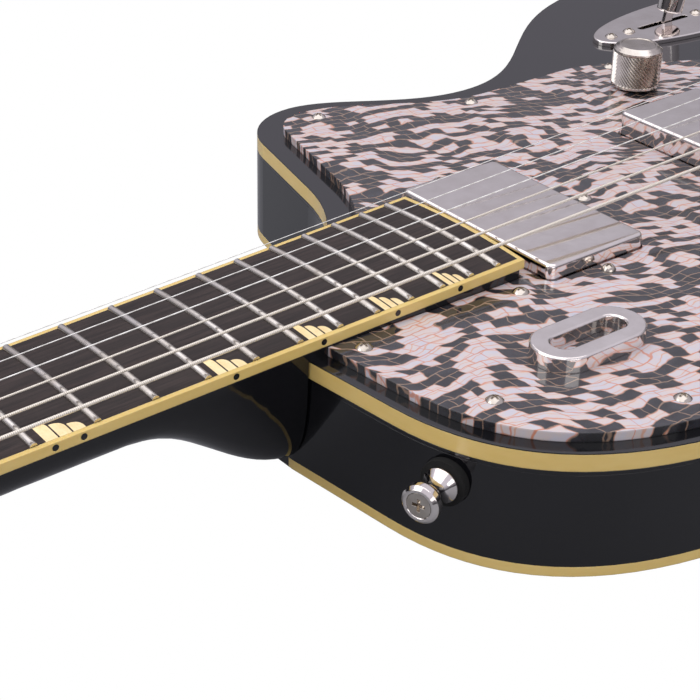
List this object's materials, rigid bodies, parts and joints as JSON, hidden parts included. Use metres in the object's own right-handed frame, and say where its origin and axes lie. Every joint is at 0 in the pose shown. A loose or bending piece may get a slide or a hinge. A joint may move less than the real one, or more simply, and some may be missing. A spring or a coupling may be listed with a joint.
{
  "type": "electric guitar",
  "caption": "Solid-body electric guitar with a single cutaway, bound edges, a flake-patterned pickguard, covered pickups, knurled knobs and tuners.",
  "frame": {"origin": "on the body's back face, on the centre line, under the line of the bridge saddles", "axes": "+X along the guitar towards its tail, +Y to the treble side, +Z out of its face"},
  "size_m": [1.0385, 0.3406, 0.0855],
  "materials": {
    "black_lacquer": "polished black lacquer over wood",
    "cream_binding": "aged cream binding under clear lacquer",
    "rosewood": "oiled open-grained rosewood",
    "fret_wire": "polished nickel silver",
    "black_dot": "satin",
    "bone": "polished bone",
    "rod_steel": "plain steel",
    "cover_plastic": "polished",
    "flake_guard": "polished sheet of dark and pearl flakes",
    "screw_nickel": "polished nickel plate",
    "polished_nickel": "polished nickel plate",
    "bobbin_plastic": "moulded",
    "base_brass": "plain",
    "plate_chrome": "polished chrome plate",
    "switch_steel": "plated",
    "tip_chrome": "polished",
    "pot_steel": "plated",
    "knurled_nickel": "knurled and plated",
    "jack_nickel": "plated",
    "saddle_nickel": "plated",
    "string_nickel": "wound nickel wire",
    "string_steel": "drawn steel wire",
    "black_felt": "pressed felt",
    "post_nickel": "polished",
    "key_nickel": "polished"
  },
  "bodies": {
    "guitar": {"back_binding": "cream_binding", "body_core": "black_lacquer", "bridge_body": "polished_nickel", "bridge_pickup_cover": "polished_nickel", "bridge_saddles": "saddle_nickel", "bridge_studs": "polished_nickel", "bridge_wheels": "polished_nickel", "control_plate": "plate_chrome", "fingerboard": "rosewood", "fingerboard_binding": "cream_binding", "frets": "fret_wire", "inlays": "cream_binding", "jack_cup": "polished_nickel", "neck": "black_lacquer", "neck_pickup_cover": "polished_nickel", "nut": "bone", "ornament": "polished_nickel", "output_jack": "jack_nickel", "pickguard": "flake_guard", "pickup_bases": "base_brass", "pickup_coils": "bobbin_plastic", "pickup_height_screws": "screw_nickel", "plain_strings": "string_steel", "plate_screws": "screw_nickel", "saddle_screws": "screw_nickel", "side_dots": "black_dot", "strap_buttons": "polished_nickel", "strap_felts": "black_felt", "strap_screws": "screw_nickel", "switch_frame": "switch_steel", "switch_screws": "screw_nickel", "tailpiece": "polished_nickel", "tailpiece_studs": "polished_nickel", "tone_pot": "pot_steel", "top_binding": "cream_binding", "top_plate": "black_lacquer", "truss_rod": "rod_steel", "truss_rod_cover": "cover_plastic", "tuner_bushings": "polished_nickel", "tuner_cases": "polished_nickel", "volume_pot": "pot_steel", "wound_strings": "string_nickel"},
    "volume_control": {"volume_knob": "knurled_nickel", "volume_shaft": "pot_steel"},
    "tone_control": {"tone_knob": "knurled_nickel", "tone_shaft": "pot_steel"},
    "switch_arm": {"switch_lever": "switch_steel", "switch_tip": "tip_chrome"},
    "string_post_1": {"tuner_post_1": "post_nickel"},
    "tuner_key_1": {"tuner_button_1": "key_nickel"},
    "string_post_2": {"tuner_post_2": "post_nickel"},
    "tuner_key_2": {"tuner_button_2": "key_nickel"},
    "string_post_3": {"tuner_post_3": "post_nickel"},
    "tuner_key_3": {"tuner_button_3": "key_nickel"},
    "string_post_4": {"tuner_post_4": "post_nickel"},
    "tuner_key_4": {"tuner_button_4": "key_nickel"},
    "string_post_5": {"tuner_post_5": "post_nickel"},
    "tuner_key_5": {"tuner_button_5": "key_nickel"},
    "string_post_6": {"tuner_post_6": "post_nickel"},
    "tuner_key_6": {"tuner_button_6": "key_nickel"}
  },
  "joints": [
    {"name": "volume_turn", "type": "hinge", "parent": "guitar", "child": "volume_control", "pos_m": [-0.0245, 0.0649, 0.05], "axis": [0, 0, 1], "range_deg": [-145, 145]},
    {"name": "tone_turn", "type": "hinge", "parent": "guitar", "child": "tone_control", "pos_m": [0.096, 0.1127, 0.05], "axis": [0, 0, 1], "range_deg": [-145, 145]},
    {"name": "switch_throw", "type": "hinge", "parent": "guitar", "child": "switch_arm", "pos_m": [0.0437, 0.1127, 0.0315], "axis": [0, 1, 0], "range_deg": [-27, 3]},
    {"name": "key_turn_1", "type": "hinge", "parent": "guitar", "child": "tuner_key_1", "pos_m": [-0.69771, -0.03987, 0.00005], "axis": [0, -1, 0], "range_deg": [-1800, 1800]},
    {"name": "post_turn_1", "type": "hinge", "parent": "guitar", "child": "string_post_1", "pos_m": [-0.70182, -0.02487, 0.01936], "axis": [-0.2079, 0, 0.9781], "range_deg": [-121, 121]},
    {"name": "key_turn_2", "type": "hinge", "parent": "guitar", "child": "tuner_key_2", "pos_m": [-0.73879, -0.04181, -0.00869], "axis": [0, -1, 0], "range_deg": [-1800, 1800]},
    {"name": "post_turn_2", "type": "hinge", "parent": "guitar", "child": "string_post_2", "pos_m": [-0.7429, -0.02681, 0.01063], "axis": [-0.2079, 0, 0.9781], "range_deg": [-121, 121]},
    {"name": "key_turn_3", "type": "hinge", "parent": "guitar", "child": "tuner_key_3", "pos_m": [-0.77988, -0.04376, -0.01742], "axis": [0, -1, 0], "range_deg": [-1800, 1800]},
    {"name": "post_turn_3", "type": "hinge", "parent": "guitar", "child": "string_post_3", "pos_m": [-0.78398, -0.02876, 0.0019], "axis": [-0.2079, 0, 0.9781], "range_deg": [-121, 121]},
    {"name": "key_turn_4", "type": "hinge", "parent": "guitar", "child": "tuner_key_4", "pos_m": [-0.77988, 0.04376, -0.01742], "axis": [0, 1, 0], "range_deg": [-1800, 1800]},
    {"name": "post_turn_4", "type": "hinge", "parent": "guitar", "child": "string_post_4", "pos_m": [-0.78398, 0.02876, 0.0019], "axis": [-0.2079, 0, 0.9781], "range_deg": [-121, 121]},
    {"name": "key_turn_5", "type": "hinge", "parent": "guitar", "child": "tuner_key_5", "pos_m": [-0.73879, 0.04181, -0.00869], "axis": [0, 1, 0], "range_deg": [-1800, 1800]},
    {"name": "post_turn_5", "type": "hinge", "parent": "guitar", "child": "string_post_5", "pos_m": [-0.7429, 0.02681, 0.01063], "axis": [-0.2079, 0, 0.9781], "range_deg": [-121, 121]},
    {"name": "key_turn_6", "type": "hinge", "parent": "guitar", "child": "tuner_key_6", "pos_m": [-0.69771, 0.03987, 0.00005], "axis": [0, 1, 0], "range_deg": [-1800, 1800]},
    {"name": "post_turn_6", "type": "hinge", "parent": "guitar", "child": "string_post_6", "pos_m": [-0.70182, 0.02487, 0.01936], "axis": [-0.2079, 0, 0.9781], "range_deg": [-121, 121]}
  ],
  "couplings": [
    {"joint": "post_turn_1", "follows": "key_turn_1", "ratio": 0.066667},
    {"joint": "post_turn_2", "follows": "key_turn_2", "ratio": 0.066667},
    {"joint": "post_turn_3", "follows": "key_turn_3", "ratio": 0.066667},
    {"joint": "post_turn_4", "follows": "key_turn_4", "ratio": 0.066667},
    {"joint": "post_turn_5", "follows": "key_turn_5", "ratio": 0.066667},
    {"joint": "post_turn_6", "follows": "key_turn_6", "ratio": 0.066667}
  ]
}
